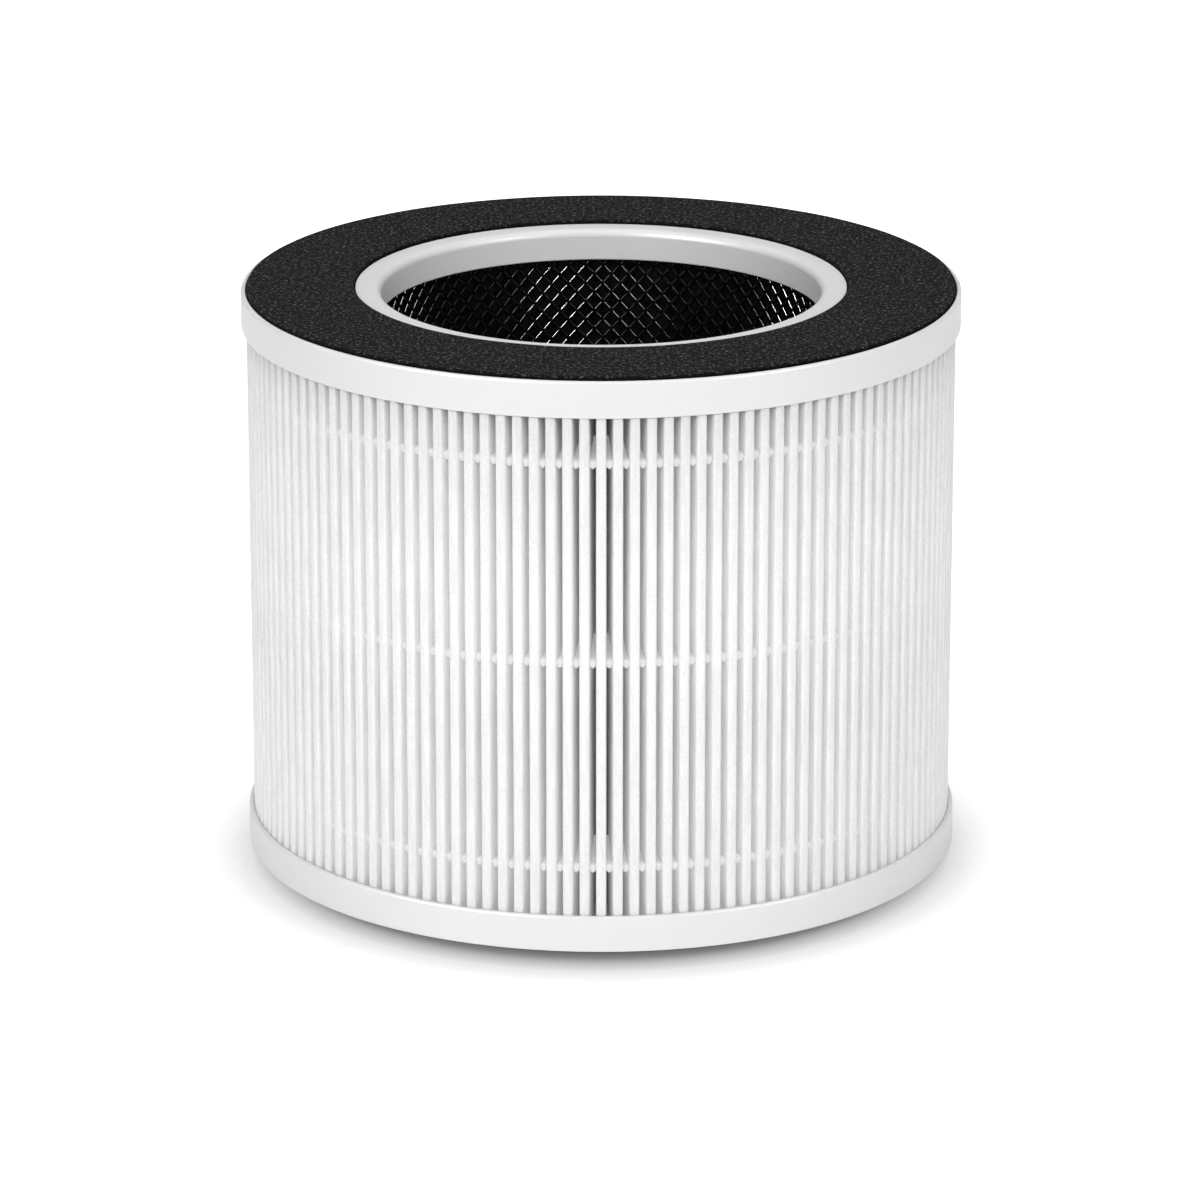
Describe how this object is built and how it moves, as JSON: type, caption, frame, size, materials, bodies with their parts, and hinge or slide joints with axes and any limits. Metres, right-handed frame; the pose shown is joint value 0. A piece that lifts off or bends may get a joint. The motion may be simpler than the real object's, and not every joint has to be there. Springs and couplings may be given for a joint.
{
  "type": "air purifier filter",
  "caption": "Round cartridge filter for an air purifier: a ring of folded paper between two moulded end caps, with a foam gasket round its open mouth and a granule layer inside.",
  "frame": {"origin": "centre of the closed end's lower face, where the filter stands", "axes": "+Z along the filter's axis, towards the open mouth and its gasket; the glued seam of the folds faces +Y"},
  "size_m": [0.19, 0.19, 0.153],
  "materials": {
    "cap_plastic": "satin moulded plastic",
    "gasket_foam": "fine charcoal foam",
    "potting_glue": "smooth cast glue",
    "hot_melt": "smooth milky hot-melt glue",
    "filter_paper": "fine fibre paper",
    "net_plastic": "glossy black netting",
    "carbon": "dull granules"
  },
  "bodies": {
    "root": {"top_cap": "cap_plastic", "bottom_cap": "cap_plastic", "foam_gasket": "gasket_foam", "top_potting": "potting_glue", "bottom_potting": "potting_glue", "seam_glue": "hot_melt", "pleated_paper": "filter_paper", "outer_beads_upper": "hot_melt", "outer_beads_middle": "hot_melt", "outer_beads_lower": "hot_melt", "inner_beads_upper": "hot_melt", "inner_beads_middle": "hot_melt", "inner_beads_lower": "hot_melt", "outer_net": "net_plastic", "inner_net": "net_plastic", "carbon_layer": "carbon"}
  },
  "joints": []
}
